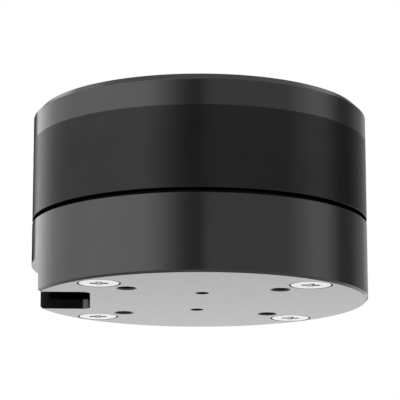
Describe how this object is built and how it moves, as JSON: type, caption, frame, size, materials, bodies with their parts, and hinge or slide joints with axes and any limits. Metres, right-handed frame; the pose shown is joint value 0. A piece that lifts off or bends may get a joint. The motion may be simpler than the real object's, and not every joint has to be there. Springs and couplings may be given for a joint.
{
  "type": "gimbal motor",
  "caption": "Flat outrunner gimbal motor: black cup base with a cable outlet, wound stator, magnet ring rotor under a bevelled cap, hollow shaft on ball bearings.",
  "frame": {"origin": "centre of the mounting face under the base housing", "axes": "+Z along the shaft from the mounting face to the rotor cap; the cable outlet is at -X"},
  "size_m": [0.04, 0.04, 0.0227],
  "materials": {
    "black_anodised": "satin black anodised all over",
    "blackened_steel": "smooth blackened steel",
    "plated_screws": "bright nickel plate",
    "core_steel": "stacked laminations",
    "insulator": "moulded nylon",
    "copper_wire": null,
    "lead_sleeve": "silicone sleeve",
    "board": "glass-filled laminate with solder mask",
    "chip": "moulded package",
    "socket": "moulded nylon",
    "contacts": "gold flash",
    "magnet_plate": "nickel-plated magnet",
    "bearing_steel": "ground and polished",
    "cage": "pressed brass",
    "shaft_steel": "ground",
    "spring_steel": "blued spring steel"
  },
  "bodies": {
    "stator": {"base_housing": "black_anodised", "housing_screws": "plated_screws", "stator_base": "black_anodised", "stator_core": "core_steel", "lower_insulator": "insulator", "upper_insulator": "insulator", "phase_coils": "copper_wire", "phase_leads": "lead_sleeve", "encoder_board": "board", "board_screws": "plated_screws", "encoder_chip": "chip", "cable_socket": "socket", "socket_pins": "contacts", "lower_bearing_outer_ring": "bearing_steel", "lower_bearing_shields": "bearing_steel", "upper_bearing_outer_ring": "bearing_steel", "upper_bearing_shields": "bearing_steel"},
    "rotor": {"rotor_cap": "black_anodised", "flux_ring": "blackened_steel", "rotor_magnets": "magnet_plate", "shaft": "shaft_steel", "preload_washer": "spring_steel", "retaining_clip": "spring_steel", "encoder_magnet": "magnet_plate", "lower_bearing_inner_ring": "bearing_steel", "upper_bearing_inner_ring": "bearing_steel"},
    "lower_ball_set": {"lower_bearing_balls": "bearing_steel", "lower_bearing_cage": "cage"},
    "upper_ball_set": {"upper_bearing_balls": "bearing_steel", "upper_bearing_cage": "cage"}
  },
  "joints": [
    {"name": "rotor_spin", "type": "hinge", "parent": "stator", "child": "rotor", "pos_m": [0, 0, 0], "axis": [0, 0, 1], "continuous": true},
    {"name": "lower_cage_spin", "type": "hinge", "parent": "stator", "child": "lower_ball_set", "pos_m": [0, 0, 0], "axis": [0, 0, 1], "continuous": true},
    {"name": "upper_cage_spin", "type": "hinge", "parent": "stator", "child": "upper_ball_set", "pos_m": [0, 0, 0], "axis": [0, 0, 1], "continuous": true}
  ],
  "couplings": [
    {"joint": "lower_cage_spin", "follows": "rotor_spin", "ratio": 0.42727},
    {"joint": "upper_cage_spin", "follows": "rotor_spin", "ratio": 0.42727}
  ]
}
